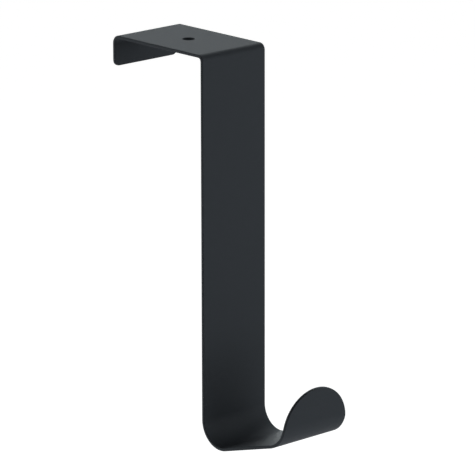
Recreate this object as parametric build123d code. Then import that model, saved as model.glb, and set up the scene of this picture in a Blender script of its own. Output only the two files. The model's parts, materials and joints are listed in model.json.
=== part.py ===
"""Over door hook, folded from one strip of steel sheet and powder coated.

The strip starts as a short lip behind the door, crosses the door's top edge as a flat plate with one
screw hole, hangs down the front of the door as a strap, and rolls forward and up into a hook. The hook
has two wide bends with a rising floor between them, and its tongue ends in a full round.

Frame, in millimetres: the origin is the middle of the plate's underside, where the screw hole's axis
meets the door's top edge. X runs along the door, +Y points through the door from the strap to the lip,
and Z is up.
"""
import os

from build123d import *

# The strip
strip_width = 30.0
sheet = 1.15  # 1 mm of steel with its coat on both sides
edge_round = 0.25  # radius that deburring and coating leave on the cut edges

# The saddle over the door's top edge
door_gap = 45.7  # clear depth between strap and lip
lip_drop = 10.4  # from the plate's underside down to the lip's end
lip_corner = 2.2  # rounding of the lip's two corners
back_bend = 2.0  # inside radius between lip and plate
top_bend = 1.25  # inside radius between plate and strap
hole_diameter = 4.5  # clears a 4 mm screw

# The strap and the hook
hook_drop = 142.2  # from the plate's underside down to the hook's lowest point
low_bend = 8.4  # inside radius between strap and floor
floor_length = 24.7  # straight run between the two hook bends
floor_rise = 16.1  # degrees above level
front_bend = 9.3  # inside radius between floor and tongue
tongue_height = 12.0  # straight run from the front bend to the tip
tongue_lean = 4.9  # degrees forward of upright


def fold_line():
    """Side view of the strip's door-side face, from the lip's end to the tip, as a wire on the YZ plane.

    Local x is Y and local y is Z. Each bend is an arc tangent to the run before it.
    """
    half_gap = door_gap / 2
    low_radius = low_bend + sheet
    front_radius = front_bend + sheet
    strap_end = low_radius - hook_drop
    low_turn = 90 + floor_rise
    front_turn = 90 - floor_rise - tongue_lean
    with BuildLine(Plane.YZ) as side:
        Line((half_gap, -lip_drop), (half_gap, -back_bend))
        JernArc((half_gap, -back_bend), (0, 1), back_bend, 90)
        Line((half_gap - back_bend, 0), (top_bend - half_gap, 0))
        JernArc((top_bend - half_gap, 0), (-1, 0), top_bend, 90)
        Line((-half_gap, -top_bend), (-half_gap, strap_end))
        low_arc = JernArc((-half_gap, strap_end), (0, -1), low_radius, -low_turn)
        floor = PolarLine(low_arc @ 1, floor_length, direction=low_arc % 1)
        front_arc = JernArc(floor @ 1, floor % 1, front_radius, -front_turn)
        PolarLine(front_arc @ 1, tongue_height, direction=front_arc % 1)
    return side.wire()


def folded_strip(path, width):
    """A square-ended strip of sheet bent along the path, centred on X, with the path on its door side."""
    section = make_face(path.offset_2d(sheet, side=Side.LEFT, closed=True))
    return extrude(section, width / 2, dir=(1, 0, 0), both=True)


def round_the_tip(strip, path):
    """Trade the tongue's square end for a half disc as wide as the strip.

    Both are cut at right angles to the tongue. Their common line is the half disc's diameter, which
    may lie in the bend below, so the half disc is cut out of a wider copy of the whole bent strip.
    """
    heading = path % 1
    across = Vector(1, 0, 0)
    centre = path @ 1 - heading * (strip_width / 2)
    outer_face = Plane(centre, x_dir=across, z_dir=across.cross(heading))
    square = Pos(0, strip_width / 2) * Rectangle(2 * strip_width, strip_width)
    half_disc = square & Circle(strip_width / 2)
    end_block = extrude(outer_face * square, front_bend, both=True)
    end_punch = extrude(outer_face * half_disc, front_bend, both=True)
    return strip - end_block + (folded_strip(path, 2 * strip_width) & end_punch)


def round_the_lip(strip):
    """Round the two corners of the lip's end, whose edges run across the sheet."""
    corners = strip.edges().filter_by(Axis.Y).sort_by(Axis.Y)[-2:]
    return fillet(corners, lip_corner)


def meet_at_corner(edge, faces):
    """True where the two faces beside an edge turn away from each other by more than a degree."""
    first, second = [face.normal_at(edge @ 0.5) for face in faces]
    return first.get_angle(second) > 1


def round_the_edges(strip):
    """Round the whole rim of both sides. Bend lines stay, because there one face runs on into the next."""
    faces_beside = {}
    for face in strip.faces():
        for edge in face.edges():
            faces_beside.setdefault(edge, []).append(face)
    rim = [edge for edge, faces in faces_beside.items() if meet_at_corner(edge, faces)]
    return fillet(rim, edge_round)


def drill_the_plate(strip):
    """Screw hole through the middle of the plate, on the Z axis."""
    return strip - Cylinder(hole_diameter / 2, 4 * sheet)


path = fold_line()
door_hook = folded_strip(path, strip_width)
door_hook = round_the_tip(door_hook, path)
door_hook = round_the_lip(door_hook)
door_hook = round_the_edges(door_hook)
door_hook = drill_the_plate(door_hook)

os.makedirs("parts", exist_ok=True)
export_step(door_hook, "parts/door_hook.step")

size = door_hook.bounding_box().size
print(f"door_hook {size.X:.1f} x {size.Y:.1f} x {size.Z:.1f} mm, {door_hook.volume / 1000:.2f} cm3 of steel")
print(f"blank {path.length:.1f} mm along its door-side face")
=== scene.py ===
# %% [markdown]
# # An over door hook in powder-coated steel
# The whole object is one strip of steel sheet. A press folds it so that it sits over the top edge of a door,
# hangs down the front and rolls forward into a hook, and then it gets one even coat of charcoal powder.
# The lesson follows the workshop: cut the flat blank, fold it, coat it, and light it in a small studio.

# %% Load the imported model
import json
import math

import bpy
import numpy as np
from mathutils import Matrix, Vector


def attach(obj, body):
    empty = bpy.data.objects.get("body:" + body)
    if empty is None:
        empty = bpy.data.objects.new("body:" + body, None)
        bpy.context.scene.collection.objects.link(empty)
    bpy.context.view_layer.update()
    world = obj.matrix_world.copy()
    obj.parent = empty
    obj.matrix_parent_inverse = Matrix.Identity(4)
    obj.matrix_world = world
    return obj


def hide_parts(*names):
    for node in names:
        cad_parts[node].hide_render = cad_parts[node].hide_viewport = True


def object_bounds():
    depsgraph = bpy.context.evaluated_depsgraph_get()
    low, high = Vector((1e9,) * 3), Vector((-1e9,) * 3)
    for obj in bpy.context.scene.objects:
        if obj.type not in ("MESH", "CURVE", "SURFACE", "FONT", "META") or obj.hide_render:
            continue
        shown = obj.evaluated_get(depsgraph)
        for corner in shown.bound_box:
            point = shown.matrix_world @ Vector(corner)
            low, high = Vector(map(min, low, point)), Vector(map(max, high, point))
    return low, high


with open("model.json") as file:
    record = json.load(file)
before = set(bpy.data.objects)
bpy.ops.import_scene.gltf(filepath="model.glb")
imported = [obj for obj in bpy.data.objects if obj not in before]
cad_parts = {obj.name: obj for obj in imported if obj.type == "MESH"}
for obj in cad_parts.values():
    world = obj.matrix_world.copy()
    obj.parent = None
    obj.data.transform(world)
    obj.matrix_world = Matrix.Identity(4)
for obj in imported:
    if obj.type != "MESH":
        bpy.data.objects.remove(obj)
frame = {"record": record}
cad_low, cad_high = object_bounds()
millimetre = 0.001


def in_millimetres(lengths):
    """One length or several in millimetres, to two decimals, for printing."""
    return np.round(np.array(lengths) / millimetre, 2)


print("packed box, mm:", in_millimetres(cad_high - cad_low))

# %% [markdown]
# ## Sizes
# A folded strip has few sizes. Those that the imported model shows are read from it: its box gives the width
# of the strip, the thickness of the sheet and the drop of the hook, and its mounts give the gap for the
# door and the screw hole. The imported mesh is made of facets, which cut across a bend, so the drop is
# rounded to a tenth of a millimetre. The rest are the bends, the short straight runs and the roundings.
# Blender's scene is in metres, so each of them is written as so many times a millimetre.

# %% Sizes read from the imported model
mounts = {mount["name"]: mount for mount in frame["record"]["mounts"]}
strip_width = cad_high.x - cad_low.x
sheet = cad_high.z
door_gap = mounts["lip_face"]["pos_m"][1] - mounts["door_face"]["pos_m"][1]
hole_radius = mounts["screw_hole"]["dims"]["r_mm"] * millimetre
hook_drop = round(-cad_low.z, 4)
print("width, sheet, gap and drop, mm:", in_millimetres([strip_width, sheet, door_gap, hook_drop]))

# %% Sizes of the folds and roundings
lip_drop = 10.4 * millimetre
lip_corner = 2.2 * millimetre
back_bend = 2.0 * millimetre
top_bend = 1.25 * millimetre
low_bend = 8.4 * millimetre
floor_length = 24.7 * millimetre
floor_rise = math.radians(16.1)
front_bend = 9.3 * millimetre
tongue_height = 12.0 * millimetre
tongue_lean = math.radians(4.9)
edge_round = 0.25 * millimetre
hole_round = 0.15 * millimetre
print("inside radii of the four bends, mm:", in_millimetres([back_bend, top_bend, low_bend, front_bend]))

# %% [markdown]
# ## The fold line
# Seen from the side, the strip is a line made of straight runs and bends. It could be drawn as a curve and
# given a thickness, but a formula is exact and lets every other step speak in lengths along the strip.
# So the line is kept as a list of runs, each with a length and a curvature. A straight run has curvature 0,
# a bend has one over its radius, and the sign says which way the press turned the sheet. The line follows
# the face that lies against the door, from the end of the lip to the tip of the tongue.

# %% Runs of the fold line
low_radius = low_bend + sheet
front_radius = front_bend + sheet
quarter_turn = math.radians(90)
low_turn = quarter_turn + floor_rise
front_turn = quarter_turn - floor_rise - tongue_lean
runs = {
    "lip": (lip_drop - back_bend, 0.0),
    "back_bend": (back_bend * quarter_turn, 1 / back_bend),
    "plate": (door_gap - back_bend - top_bend, 0.0),
    "top_bend": (top_bend * quarter_turn, 1 / top_bend),
    "strap": (hook_drop - low_radius - top_bend, 0.0),
    "low_bend": (low_radius * low_turn, -1 / low_radius),
    "floor": (floor_length, 0.0),
    "front_bend": (front_radius * front_turn, -1 / front_radius),
    "tongue": (tongue_height, 0.0),
}
run_length, run_curvature = np.array(list(runs.values())).T
run_start = np.concatenate([[0.0], np.cumsum(run_length)])
start_of = dict(zip(runs, run_start))
strip_length = run_start[-1]
print("blank", in_millimetres(strip_length), "mm long in", len(runs), "runs")


# %% Walk along the fold line
def stride(distance, curvature, heading):
    """Step in (y, z) after going a distance along an arc.

    An arc that turns by a = curvature * distance goes forward by distance * sin(a) / a and to the left by
    distance * (1 - cos(a)) / a. numpy's sinc writes both without dividing by a, so straight runs need no
    case of their own. The step is then turned to the heading.
    """
    turn = curvature * distance
    forward = distance * np.sinc(turn / np.pi)
    left = distance * np.sin(turn / 2) * np.sinc(turn / (2 * np.pi))
    return np.stack(
        [
            forward * np.cos(heading) - left * np.sin(heading),
            forward * np.sin(heading) + left * np.cos(heading),
        ],
        axis=-1,
    )


run_heading = quarter_turn + np.concatenate([[0.0], np.cumsum(run_length * run_curvature)[:-1]])
run_step = stride(run_length, run_curvature, run_heading)
lip_end = np.array([door_gap / 2, -lip_drop])
run_origin = lip_end + np.concatenate([np.zeros((1, 2)), np.cumsum(run_step, axis=0)[:-1]])
print("tongue starts at y, z in mm:", in_millimetres(run_origin[-1]))


# %% Fold the blank
def fold(points, normals):
    """Carry points and normals of the flat blank to their folded place.

    A blank point is (across, along, depth): across the strip, along it from the lip's end, and out from the
    door-side face. Its run is looked up, a stride from the run's start gives the place and heading there,
    and the depth goes to the right of the heading, which is away from the door.
    """
    across, along, depth = points.T
    run = np.clip(np.searchsorted(run_start, along, side="right") - 1, 0, len(runs) - 1)
    distance = along - run_start[run]
    heading = run_heading[run] + run_curvature[run] * distance
    place = run_origin[run] + stride(distance, run_curvature[run], run_heading[run])
    ahead = np.stack([np.cos(heading), np.sin(heading)], axis=-1)
    outward = np.stack([np.sin(heading), -np.cos(heading)], axis=-1)
    place = place + depth[:, None] * outward
    turned = normals[:, 1:2] * ahead + normals[:, 2:3] * outward
    return np.column_stack([across, place]), np.column_stack([normals[:, 0], turned])


tip, _ = fold(np.array([[0.0, strip_length, 0.0]]), np.array([[0.0, 0.0, -1.0]]))
print("tip folds to x, y, z in mm:", in_millimetres(tip[0]))

# %% [markdown]
# ## The blank
# The blank is cut from flat sheet: two small round corners at the lip, straight sides, and a full half
# circle at the tip. Its two faces could be filled polygons, but a fold needs rows of vertices across every
# bend. So each face is a grid whose rows run across the strip. A row ends where the outline is, and the
# angle of the outline there is kept too, because the rim is later carried along it. The grid stops one
# edge radius inside the outline, where the rounding of the edge begins.

# %% Steps of the grid
flat_step = 4.0 * millimetre
small_bend_steps = 16
low_bend_steps = 48
front_bend_steps = 32
corner_steps = 8
tip_steps = 48
columns = 48
hole_columns = 16


def spread(start, stop, count):
    """Places from start to stop in equal steps, without the last one, which the next run begins with."""
    return np.linspace(start, stop, count, endpoint=False)


def flat_run(start, stop):
    """Places along a flat run, no further apart than flat_step."""
    return spread(start, stop, math.ceil((stop - start) / flat_step))


print(columns, "columns, and rows at most", in_millimetres(flat_step), "mm apart")

# %% Rows of the grid along the strip
half_width = strip_width / 2
tip_radius = half_width - edge_round
corner_radius = lip_corner - edge_round
tip_centre = strip_length - half_width
hole_place = start_of["plate"] + door_gap / 2 - back_bend
hole_block = tip_radius * hole_columns / columns
block_start = hole_place - hole_block
block_end = hole_place + hole_block

corner_lean = spread(-quarter_turn, 0.0, corner_steps)
tip_lean = np.linspace(0.0, quarter_turn, tip_steps + 1)
straight_rows = np.concatenate(
    [
        flat_run(lip_corner, start_of["back_bend"]),
        spread(start_of["back_bend"], start_of["plate"], small_bend_steps),
        flat_run(start_of["plate"], block_start),
        spread(block_start, block_end, hole_columns),
        flat_run(block_end, start_of["top_bend"]),
        spread(start_of["top_bend"], start_of["strap"], small_bend_steps),
        flat_run(start_of["strap"], start_of["low_bend"]),
        spread(start_of["low_bend"], start_of["floor"], low_bend_steps),
        flat_run(start_of["floor"], start_of["front_bend"]),
        spread(start_of["front_bend"], tip_centre, front_bend_steps),
    ]
)
row_along = np.concatenate(
    [
        lip_corner + corner_radius * np.sin(corner_lean),
        straight_rows,
        tip_centre + tip_radius * np.sin(tip_lean),
    ]
)
row_half = np.concatenate(
    [
        half_width - lip_corner + corner_radius * np.cos(corner_lean),
        np.full(len(straight_rows), tip_radius),
        tip_radius * np.cos(tip_lean),
    ]
)
row_lean = np.concatenate([corner_lean, np.zeros(len(straight_rows)), tip_lean])
print(len(row_along), "rows of", columns, "faces")


# %% Faces of the sheet
def sheet_face(depth, facing):
    """One face of the sheet as a grid in the blank, with its normals.

    Point (i, j) is (row_half[i] * share[j], row_along[i], depth), where the share runs from -1 at one edge
    to 1 at the other. At the tip the last row shrinks to a point.
    """
    share = np.linspace(-1.0, 1.0, columns + 1)
    across = row_half[:, None] * share
    along = np.broadcast_to(row_along[:, None], across.shape)
    points = np.stack([across, along, np.full(across.shape, depth)], axis=-1)
    normals = np.broadcast_to([0.0, 0.0, facing], points.shape)
    return points, normals


def around_the_hole(grid):
    """The four pieces of a face grid that are left when the square block round the hole is taken out."""
    first_row = np.abs(row_along - block_start).argmin()
    last_row = first_row + hole_columns
    first_column = (columns - hole_columns) // 2
    last_column = first_column + hole_columns
    return [
        grid[: first_row + 1],
        grid[first_row : last_row + 1, : first_column + 1],
        grid[first_row : last_row + 1, last_column:],
        grid[last_row:],
    ]


patches = []
for depth, facing in ((sheet, 1.0), (0.0, -1.0)):
    patches += zip(*map(around_the_hole, sheet_face(depth, facing)))
print(len(patches), "face patches")


# %% [markdown]
# ## The rim
# Cutting leaves a square edge, and deburring and the coat leave it slightly rounded. A bevel modifier would
# also find the bends, so the rim is a profile carried round the outline: a quarter round, the flat edge of
# the sheet, and another quarter round. On a dark part those roundings are what catches the light along the
# edges, so they are real geometry with true normals.


# %% Profile carried round the outline
def rim_profile(radius, steps):
    """How far out, how deep in the sheet and which way the rim faces, from the outer face to the door side.

    The angle goes from 0 to 180 degrees: out is radius * sin, depth is radius * cos from the middle of each
    rounding, and the repeated 90 degrees is the flat edge between the two roundings.
    """
    angle = np.radians(np.concatenate([np.linspace(0, 90, steps), np.linspace(90, 180, steps)]))
    middle = np.repeat([sheet - radius, radius], steps)
    return radius * np.sin(angle), middle + radius * np.cos(angle), angle


def carried_rim(across, along, lean, profile):
    """Grid of the profile carried along a line in the blank, whose lean gives its outward direction."""
    out, depth, angle = profile
    outward = np.stack([np.cos(lean), np.sin(lean)], axis=-1)[:, None, :]
    line = np.stack([across, along], axis=-1)[:, None, :]
    flat = line + outward * out[:, None]
    points = np.concatenate([flat, np.broadcast_to(depth[:, None], (len(lean), len(out), 1))], axis=-1)
    normals = np.concatenate(
        [
            outward * np.sin(angle)[:, None],
            np.broadcast_to(np.cos(angle)[:, None], (len(lean), len(out), 1)),
        ],
        axis=-1,
    )
    return points, normals


round_steps = 6
end_across = np.linspace(-row_half[0], row_half[0], columns + 1)
outline_across = np.concatenate([end_across, row_half[1:], -row_half[-2::-1]])
outline_along = np.concatenate([np.full(columns + 1, row_along[0]), row_along[1:], row_along[-2::-1]])
outline_lean = np.concatenate(
    [np.full(columns + 1, -quarter_turn), row_lean[1:], math.pi - row_lean[-2::-1]]
)
edge_profile = rim_profile(edge_round, round_steps)
patches.append(carried_rim(outline_across, outline_along, outline_lean, edge_profile))
print(len(outline_lean), "points round the outline")

# %% [markdown]
# ## The screw hole
# One hole is punched through the plate for a screw into the door's top edge. A boolean cut would leave long
# thin triangles that shade badly, so the square block left open in each face is filled with rings that
# change from a square into a circle. The square and the circle have as many points and start on the same
# diagonal. The same profile as on the rim then lines the hole.

# %% Rings from the square block to the hole
ring_points = 4 * hole_columns
ring_angle = np.linspace(-0.75 * np.pi, 1.25 * np.pi, ring_points + 1)
corner_at = np.linspace(0, ring_points, 5)
step_at = np.arange(ring_points + 1)
square = hole_block * np.stack(
    [np.interp(step_at, corner_at, [-1, 1, 1, -1, -1]), np.interp(step_at, corner_at, [-1, -1, 1, 1, -1])],
    axis=-1,
)
circle = (hole_radius + hole_round) * np.stack([np.cos(ring_angle), np.sin(ring_angle)], axis=-1)


def hole_rings(depth, facing, rings=8):
    """Grid of rings in one face: circle * (1 - m) + square * m, with m growing faster further out."""
    mix = np.linspace(0.0, 1.0, rings + 1)[:, None, None] ** 1.5
    flat = circle * (1 - mix) + square * mix + [0.0, hole_place]
    points = np.concatenate([flat, np.full((*flat.shape[:2], 1), depth)], axis=-1)
    return points, np.broadcast_to([0.0, 0.0, facing], points.shape)


patches.append(hole_rings(sheet, 1.0))
patches.append(hole_rings(0.0, -1.0))
hole_across = circle[:, 0]
hole_along = circle[:, 1] + hole_place
hole_lean = ring_angle + math.pi
hole_profile = rim_profile(hole_round, round_steps)
patches.append(carried_rim(hole_across, hole_along, hole_lean, hole_profile))
print("screw hole", in_millimetres(2 * hole_radius), "mm across")

# %% [markdown]
# ## From patches to one folded mesh
# The patches meet along shared lines. Blender can merge vertices by distance, but that renumbers them, and
# the exact normals would no longer fit. So points that fall together get one number before there is a mesh,
# and the strip is closed. Only then is it folded, and every face is turned to agree with its normals. They
# are also given to the mesh: a large flat face beside a thin rounding would otherwise pick up a false
# gradient.

# %% Weld the patches
same_place = 25e-9  # metres


def weld(patches, reach):
    """Join grids into one mesh by giving points in the same cell of a lattice one number.

    The lattice is reach metres fine, far below the smallest step of the grids, and shifted a little, so
    that round coordinates don't fall on the border of two cells.
    """
    points = np.concatenate([points.reshape(-1, 3) for points, _ in patches])
    normals = np.concatenate([normals.reshape(-1, 3) for _, normals in patches])
    quads = []
    first = 0
    for grid, _ in patches:
        rows, width = grid.shape[:2]
        number = first + np.arange(rows * width).reshape(rows, width)
        corners = [number[:-1, :-1], number[1:, :-1], number[1:, 1:], number[:-1, 1:]]
        quads.append(np.stack(corners, axis=-1).reshape(-1, 4))
        first += rows * width
    lattice_shift = 0.37
    cell = np.floor(points / reach + lattice_shift).astype(np.int64)
    _, kept, shared = np.unique(cell, axis=0, return_index=True, return_inverse=True)
    return points[kept], normals[kept], shared.reshape(-1)[np.concatenate(quads)]


blank_points, blank_normals, blank_quads = weld(patches, same_place)
print("blank:", len(blank_points), "vertices and", len(blank_quads), "faces")


# %% Fold it and make the mesh
def facing_outward(points, normals, quads):
    """Quads reversed where the cross product of their diagonals points against their vertices' normals."""
    corner = points[quads]
    facing = np.cross(corner[:, 2] - corner[:, 0], corner[:, 3] - corner[:, 1])
    agrees = np.einsum("ij,ij->i", facing, normals[quads].sum(axis=1)) > 0
    return np.where(agrees[:, None], quads, quads[:, ::-1])


def mesh_piece(name, points, normals, quads):
    """Mesh object of outward quads, and of triangles where their second and third corner are one point."""
    quads = facing_outward(points, normals, quads)
    pinched = quads[:, 1] == quads[:, 2]
    faces = quads[~pinched].tolist() + quads[pinched][:, [0, 1, 3]].tolist()
    mesh = bpy.data.meshes.new(name)
    mesh.from_pydata(points.tolist(), [], faces)
    mesh.polygons.foreach_set("use_smooth", np.ones(len(faces), dtype=bool))
    mesh.normals_split_custom_set_from_vertices(normals.tolist())
    piece = bpy.data.objects.new(name, mesh)
    bpy.context.scene.collection.objects.link(piece)
    return piece


points, normals = fold(blank_points, blank_normals)
hook_strip = mesh_piece("hook_strip", points, normals, blank_quads)
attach(hook_strip, "root")
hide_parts("door_hook")
print("hook_strip, lowest and highest corner in mm:")
print(in_millimetres([points.min(axis=0), points.max(axis=0)]))

# %% [markdown]
# ## Powder coat
# The finish is a fine matt powder coat in charcoal, baked until it flows. Up close it is not flat: the
# powder leaves a faint orange peel about a millimetre across and a grain finer than that, and the tone
# wanders a little with the grain. Images could hold that, but noise in Object coordinates has no seams
# across the folds and keeps its real scale, in lumps per metre.

# %% Patterns of the powder
peel_size = 1.1 * millimetre
grain_size = 0.22 * millimetre


def noise(tree, place, size, detail):
    """Noise texture whose lumps are about size metres across."""
    texture = tree.nodes.new("ShaderNodeTexNoise")
    texture.inputs["Scale"].default_value = 1 / size
    texture.inputs["Detail"].default_value = detail
    tree.links.new(place.outputs["Object"], texture.inputs["Vector"])
    return texture.outputs["Fac"]


def span(tree, value, low, high):
    """The middle half of a noise value, stretched from low to high."""
    stretch = tree.nodes.new("ShaderNodeMapRange")
    stretch.inputs["From Min"].default_value = 0.25
    stretch.inputs["From Max"].default_value = 0.75
    stretch.inputs["To Min"].default_value = low
    stretch.inputs["To Max"].default_value = high
    tree.links.new(value, stretch.inputs["Value"])
    return stretch.outputs["Result"]


print("orange peel", in_millimetres(peel_size), "and grain", in_millimetres(grain_size), "mm across")

# %% Powder coat material
deep_charcoal = (0.0265, 0.0293, 0.0342, 1.0)
pale_charcoal = (0.0311, 0.0343, 0.0402, 1.0)
faint_gloss = 0.13
least_roughness = 0.71
most_roughness = 0.77
grain_share = 0.35
relief_height = 0.012 * millimetre


def powder_coat():
    """Charcoal powder coat: a dark, slightly blue base, a faint gloss, orange peel and grain as bump.

    The relief is peel + grain_share * grain, and it is relief_height deep.
    """
    material = bpy.data.materials.new("charcoal_powder_coat")
    material.use_nodes = True
    tree = material.node_tree
    shader = tree.nodes["Principled BSDF"]
    shader.inputs["Specular IOR Level"].default_value = faint_gloss
    place = tree.nodes.new("ShaderNodeTexCoord")
    peel = noise(tree, place, peel_size, detail=1.0)
    grain = noise(tree, place, grain_size, detail=2.0)

    tone = tree.nodes.new("ShaderNodeMix")
    tone.data_type = "RGBA"
    tone.inputs["A"].default_value = deep_charcoal
    tone.inputs["B"].default_value = pale_charcoal
    tree.links.new(span(tree, grain, 0.0, 1.0), tone.inputs["Factor"])
    tree.links.new(tone.outputs["Result"], shader.inputs["Base Color"])
    tree.links.new(span(tree, grain, least_roughness, most_roughness), shader.inputs["Roughness"])

    relief = tree.nodes.new("ShaderNodeMath")
    relief.operation = "MULTIPLY_ADD"
    relief.inputs[1].default_value = grain_share
    tree.links.new(grain, relief.inputs[0])
    tree.links.new(peel, relief.inputs[2])
    bump = tree.nodes.new("ShaderNodeBump")
    bump.inputs["Strength"].default_value = 1.0
    bump.inputs["Distance"].default_value = relief_height
    tree.links.new(relief.outputs["Value"], bump.inputs["Height"])
    tree.links.new(bump.outputs["Normal"], shader.inputs["Normal"])
    return material


hook_strip.data.materials.append(powder_coat())
print("coated with", hook_strip.data.materials[0].name)

# %% [markdown]
# ## Studio
# The hook hangs free over a plain pale floor, far enough below that its shadow falls out of the picture.
# Far away the floor turns up like a roll of paper, so that a level view from any side ends in white too. A
# plain square with a second one as a wall would do, but one surface needs no corner. To the camera, and in
# reflections, the floor is plain white. The light itself stays at a plain level: broad softboxes stand in
# a ring from the front over the right to the back, most of them low, and the left and the ceiling only get
# a faint glow. So the top face and the hook's floor catch light, and the roll below them is dark.

# %% Floor that is white where it is looked at
pale_paper = (0.8, 0.8, 0.8, 1.0)
lit_paper = (0.3, 0.3, 0.3, 1.0)
paper_roughness = 0.9
white_strength = 0.98


def seen_directly(tree):
    """1 for camera rays and for reflected or see-through ones, 0 for those that only carry light."""
    path = tree.nodes.new("ShaderNodeLightPath")
    either = path.outputs["Is Camera Ray"]
    for kind in ("Is Glossy Ray", "Is Transmission Ray"):
        larger = tree.nodes.new("ShaderNodeMath")
        larger.operation = "MAXIMUM"
        tree.links.new(either, larger.inputs[0])
        tree.links.new(path.outputs[kind], larger.inputs[1])
        either = larger.outputs["Value"]
    return either


def pale_floor():
    """Pale matt floor that is white where it is looked at.

    What the camera and reflections see is a white share and a lit share. Even the dimmest light on the
    floor brings both together to 1, and a shadow near the hook still takes some of it away.
    """
    material = bpy.data.materials.new("pale_floor")
    material.use_nodes = True
    tree = material.node_tree
    matt = tree.nodes["Principled BSDF"]
    matt.inputs["Base Color"].default_value = pale_paper
    matt.inputs["Roughness"].default_value = paper_roughness
    lit_share = tree.nodes.new("ShaderNodeBsdfDiffuse")
    lit_share.inputs["Color"].default_value = lit_paper
    white_share = tree.nodes.new("ShaderNodeEmission")
    white_share.inputs["Strength"].default_value = white_strength
    white = tree.nodes.new("ShaderNodeAddShader")
    tree.links.new(lit_share.outputs["BSDF"], white.inputs[0])
    tree.links.new(white_share.outputs["Emission"], white.inputs[1])
    mixed = tree.nodes.new("ShaderNodeMixShader")
    tree.links.new(seen_directly(tree), mixed.inputs["Fac"])
    tree.links.new(matt.outputs["BSDF"], mixed.inputs[1])
    tree.links.new(white.outputs["Shader"], mixed.inputs[2])
    tree.links.new(mixed.outputs["Shader"], tree.nodes["Material Output"].inputs["Surface"])
    return material


floor_paper = pale_floor()
print(floor_paper.name, "made of", len(floor_paper.node_tree.nodes), "nodes")


# %% Floor that turns up far away
def paper_sweep(reach, rise, rings=32, spokes=64):
    """Round floor that is flat in the middle and turns up at its border, as rings from the border inwards.

    At radius r the height is rise * (r / reach) ** 4, so the middle is as good as flat. The slope there is
    4 * rise * r ** 3 / reach ** 4, and the normal leans inwards by it.
    """
    radius = np.linspace(reach, 0.0, rings + 1)[:, None]
    angle = np.linspace(0.0, 2 * np.pi, spokes + 1)
    height = rise * (radius / reach) ** 4
    slope = 4 * rise * radius**3 / reach**4
    points = np.stack(np.broadcast_arrays(radius * np.cos(angle), radius * np.sin(angle), height), axis=-1)
    normals = np.stack(np.broadcast_arrays(-slope * np.cos(angle), -slope * np.sin(angle), 1.0), axis=-1)
    return points, normals / np.linalg.norm(normals, axis=-1, keepdims=True)


floor_below = 0.35
sweep_points, sweep_normals, sweep_quads = weld([paper_sweep(reach=5.0, rise=1.5)], same_place)
sweep_points[:, 2] += cad_low.z - floor_below
studio_floor = mesh_piece("studio_floor", sweep_points, sweep_normals, sweep_quads)
studio_floor.data.materials.append(floor_paper)
print("floor", in_millimetres(floor_below), "mm below the hook")

# %% Faint glow all round
glow_strength = 0.06
world = bpy.data.worlds.new("studio_glow")
world.use_nodes = True
bpy.context.scene.world = world
glow = world.node_tree.nodes["Background"]
glow.inputs["Color"].default_value = (1.0, 1.0, 1.0, 1.0)
glow.inputs["Strength"].default_value = glow_strength
print("glow of strength", glow_strength)


# %% Softboxes
def direction(azimuth, elevation):
    """Unit vector from the hook, with azimuth 0 in front of it and 90 on its right, in degrees."""
    azimuth = math.radians(azimuth)
    elevation = math.radians(elevation)
    return Vector(
        (
            math.sin(azimuth) * math.cos(elevation),
            -math.cos(azimuth) * math.cos(elevation),
            math.sin(elevation),
        )
    )


softbox_width = 0.8
softbox_height = 0.4
softbox_distance = 0.9
cool_daylight = (0.90, 0.975, 1.0)


def softbox(name, azimuth, elevation, watts):
    """Broad area lamp that faces the hook's middle and stays out of the picture."""
    lamp = bpy.data.lights.new(name, "AREA")
    lamp.shape = "RECTANGLE"
    lamp.size = softbox_width
    lamp.size_y = softbox_height
    lamp.energy = watts
    lamp.color = cool_daylight
    holder = bpy.data.objects.new(name, lamp)
    outward = direction(azimuth, elevation)
    holder.location = (cad_low + cad_high) / 2 + softbox_distance * outward
    holder.rotation_euler = (-outward).to_track_quat("-Z", "Y").to_euler()
    holder.visible_camera = False
    bpy.context.scene.collection.objects.link(holder)


softbox("front_softbox", azimuth=10, elevation=-12, watts=2.0)
softbox("right_softbox", azimuth=65, elevation=10, watts=5.35)
softbox("high_softbox", azimuth=140, elevation=38, watts=7.2)
softbox("back_right_softbox", azimuth=150, elevation=-4, watts=6.4)
softbox("back_left_softbox", azimuth=-150, elevation=-4, watts=4.9)
print("softboxes:", [lamp.name for lamp in bpy.data.lights])

# %% [markdown]
# ## Camera
# The picture is taken from the front, to the left of the hook and a little above its middle, with a long
# lens, so that upright edges stay nearly parallel. A constraint could aim the camera, but here its three
# axes are built from azimuth, elevation and a touch of roll, so the view is a few plain numbers.

# %% Camera
camera_azimuth = -42.569
camera_elevation = 15.318
camera_roll = math.radians(-0.116)
camera_distance = 1.3734
camera_lens = 291.04
sensor_width = 36.0
camera_aim = Vector((0.00256, -door_gap / 2, -0.06823))

back = direction(camera_azimuth, camera_elevation)
level = direction(camera_azimuth + 90, 0)
right = Matrix.Rotation(camera_roll, 3, back) @ level
up = back.cross(right)
turn = Matrix((right, up, back)).transposed()
lens = bpy.data.cameras.new("camera")
lens.lens = camera_lens
lens.sensor_width = sensor_width
camera = bpy.data.objects.new("camera", lens)
camera.matrix_world = Matrix.Translation(camera_aim + back * camera_distance) @ turn.to_4x4()
bpy.context.scene.collection.objects.link(camera)
bpy.context.scene.camera = camera
bpy.context.scene.view_settings.view_transform = "Standard"
print("camera at x, y, z in mm:", in_millimetres(camera.location))
